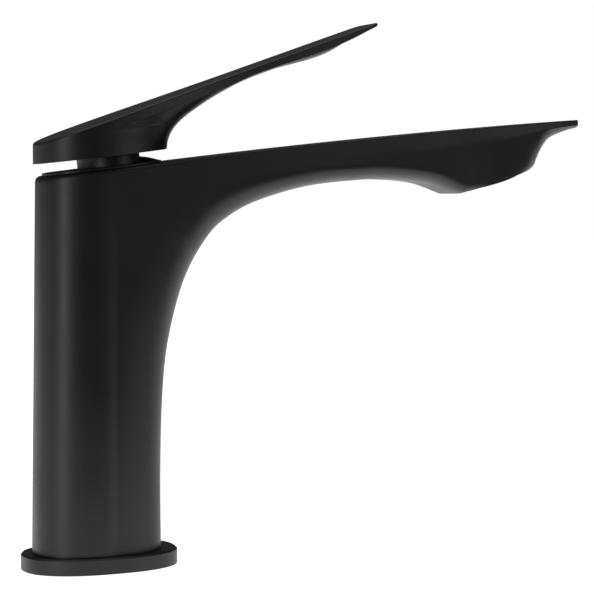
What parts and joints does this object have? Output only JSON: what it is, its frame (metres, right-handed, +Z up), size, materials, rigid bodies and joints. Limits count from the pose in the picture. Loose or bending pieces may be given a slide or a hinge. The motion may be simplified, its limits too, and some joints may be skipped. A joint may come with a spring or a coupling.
{
  "type": "bathroom mixer faucet",
  "caption": "Tall slim single-lever basin mixer with an oval column, a long flat-topped spout and a slanted lever, in satin black.",
  "frame": {"origin": "centre of the base plate's underside, on the deck, over the deck hole", "axes": "+Z up, +X along the spout, +Y to the cold side"},
  "size_m": [0.2166, 0.0366, 0.1901],
  "materials": {
    "black_finish": "satin matt black coating on cast brass",
    "black_plastic": "moulded matt black",
    "rubber_seal": "black nitrile rubber",
    "cartridge_plastic": "moulded pale grey",
    "limiter_plastic": "moulded red",
    "disc_ceramic": "lapped alumina",
    "brass_nut": "turned",
    "steel": "plain stainless",
    "aerator_ring": "dark grey moulded",
    "aerator_plastic": "grey moulded"
  },
  "bodies": {
    "body": {"body_casting": "black_finish", "base_plate": "black_finish", "deck_gasket": "rubber_seal", "body_seal": "rubber_seal", "cover_cap": "black_finish", "cartridge_base": "cartridge_plastic", "cartridge_port_seals": "rubber_seal", "fixed_ceramic_disc": "disc_ceramic", "cartridge_housing": "cartridge_plastic", "cartridge_o_ring": "rubber_seal", "cartridge_nut": "brass_nut", "temperature_limiter": "limiter_plastic", "aerator_housing": "aerator_ring", "aerator_grid": "aerator_plastic", "aerator_mesh": "steel", "flow_regulator": "aerator_plastic", "aerator_seal": "rubber_seal"},
    "guide": {"spindle_guide": "cartridge_plastic", "spindle_pin": "steel"},
    "handle": {"handle_lever": "black_finish", "lever_spindle": "brass_nut", "handle_bush": "limiter_plastic", "grub_screw": "steel", "screw_plug": "black_plastic"},
    "disc": {"moving_ceramic_disc": "disc_ceramic", "disc_carrier": "cartridge_plastic"}
  },
  "joints": [
    {"name": "handle_turn", "type": "hinge", "parent": "body", "child": "guide", "pos_m": [0, 0, 0.1364], "axis": [-0.1201, 0, 0.9928], "range_deg": [-45, 45]},
    {"name": "handle_lift", "type": "hinge", "parent": "guide", "child": "handle", "pos_m": [0.0018, 0, 0.12151], "axis": [0, -1, 0], "range_deg": [0, 12]},
    {"name": "disc_slide", "type": "slide", "parent": "guide", "child": "disc", "axis": [0.9928, 0, 0.1201], "range_m": [0, 0.003]}
  ],
  "couplings": [
    {"joint": "disc_slide", "follows": "handle_lift", "m_per_rad": 0.014208}
  ]
}
